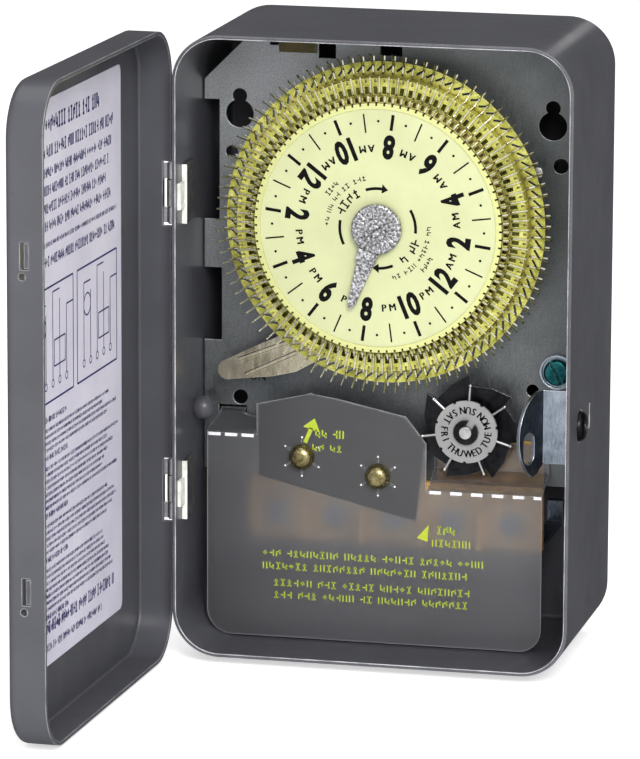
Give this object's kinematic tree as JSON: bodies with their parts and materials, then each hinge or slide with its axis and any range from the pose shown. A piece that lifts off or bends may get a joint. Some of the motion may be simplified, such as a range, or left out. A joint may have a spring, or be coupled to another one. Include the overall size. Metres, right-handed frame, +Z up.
{
  "type": "dial time switch",
  "caption": "Wall-mounted 24-hour dial time switch in a hinged sheet-metal case, with a tripper dial, day-skipping wheel, hand lever and covered terminal strip.",
  "frame": {"origin": "centre of the back face of the case, on the wall", "axes": "+X right and +Z up as seen from the front, +Y into the wall"},
  "size_m": [0.1477, 0.1928, 0.2014],
  "materials": {
    "case_paint": "satin grey baked enamel",
    "door_paint": "satin grey baked enamel",
    "zinc_steel": "zinc-plated steel",
    "plate_steel": "plain grey plated steel",
    "leaf_steel": "dull plated steel",
    "hinge_steel": "bright plated steel",
    "label_paper": "printed label",
    "clip_brass": "yellow-plated spring strip",
    "dark_steel": "blackened steel",
    "green_screw": "green plated screw",
    "motor_case": "drawn can",
    "gear_metal": "cut brass",
    "arbor_steel": "turned steel",
    "dial_print": "pale printed face",
    "drum_plate": "yellow chromate",
    "wire": "bright spring wire",
    "cast_zinc": "rough cast zinc alloy",
    "day_print": "printed disc",
    "lever_plate": "nickel plate",
    "phenolic_dark": "moulded phenolic",
    "phenolic_tan": "tan phenolic strip",
    "contact_metal": "contact metal",
    "clear_sheet": "clear plastic sheet",
    "post_brass": "brass"
  },
  "bodies": {
    "case": {"case_shell": "case_paint", "case_hinge_leaves": "leaf_steel", "hinge_pins": "hinge_steel", "mechanism_plate": "plate_steel", "standoffs": "zinc_steel", "plate_screws": "zinc_steel", "top_clip": "clip_brass", "dome_stud": "case_paint", "ground_cup": "zinc_steel", "ground_screw": "green_screw", "gearbox": "phenolic_dark", "motor_can": "motor_case", "dial_arbor": "arbor_steel", "time_hand": "cast_zinc", "hand_screw": "cast_zinc", "skip_post": "arbor_steel", "retaining_ring": "dark_steel", "contact_block": "phenolic_dark", "fixed_contacts": "contact_metal", "support_plate": "plate_steel", "support_legs": "zinc_steel", "insulator": "clear_sheet", "insulator_posts": "post_brass", "terminal_board": "phenolic_tan", "terminal_screws": "zinc_steel", "terminal_plates": "contact_metal", "board_brackets": "zinc_steel"},
    "door": {"door_shell": "door_paint", "door_catches": "door_paint", "door_hinge_leaves": "hinge_steel", "door_label": "label_paper"},
    "dial": {"dial_hub": "gear_metal", "dial_gear": "gear_metal", "dial_face": "dial_print", "drum_front": "drum_plate", "drum_ring": "drum_plate", "drum_rear": "drum_plate", "trippers": "wire", "kick_pin": "arbor_steel"},
    "day_wheel": {"star_wheel": "dark_steel", "day_disc": "day_print", "day_trippers": "arbor_steel"},
    "pinion": {"drive_pinion": "gear_metal"},
    "lever": {"trip_lever": "lever_plate", "lever_shaft": "arbor_steel"},
    "rocker": {"contact_rocker": "phenolic_dark", "moving_contacts": "contact_metal"},
    "padlock_hasp": {"hasp": "zinc_steel", "hasp_button": "dark_steel"}
  },
  "joints": [
    {"name": "door_hinge", "type": "hinge", "parent": "case", "child": "door", "pos_m": [-0.066, -0.0619, 0], "axis": [0, 0, 1], "range_deg": [-85, 92]},
    {"name": "dial_turn", "type": "hinge", "parent": "case", "child": "dial", "pos_m": [0, -0.05, 0.039], "axis": [0, 1, 0], "continuous": true},
    {"name": "day_wheel_turn", "type": "hinge", "parent": "case", "child": "day_wheel", "pos_m": [0.0266, -0.045, -0.0266], "axis": [0, 1, 0], "continuous": true},
    {"name": "pinion_turn", "type": "hinge", "parent": "case", "child": "pinion", "pos_m": [-0.0162, -0.042, 0.06706], "axis": [0, 1, 0], "continuous": true},
    {"name": "lever_swing", "type": "hinge", "parent": "case", "child": "lever", "pos_m": [-0.011, -0.04, 0.0053], "axis": [0, 1, 0], "range_deg": [0, 16]},
    {"name": "rocker_tilt", "type": "hinge", "parent": "case", "child": "rocker", "pos_m": [0.012, -0.03, -0.01], "axis": [0, 1, 0], "range_deg": [0, 4.2]},
    {"name": "hasp_press", "type": "hinge", "parent": "case", "child": "padlock_hasp", "pos_m": [0.0617, -0.039, -0.0218], "axis": [0, 0, -1], "range_deg": [0, 4], "stiffness_Nm_per_rad": 1.5}
  ],
  "couplings": [
    {"joint": "day_wheel_turn", "follows": "dial_turn", "ratio": -0.14286},
    {"joint": "pinion_turn", "follows": "dial_turn", "ratio": -8},
    {"joint": "rocker_tilt", "follows": "lever_swing", "ratio": 0.2625}
  ]
}
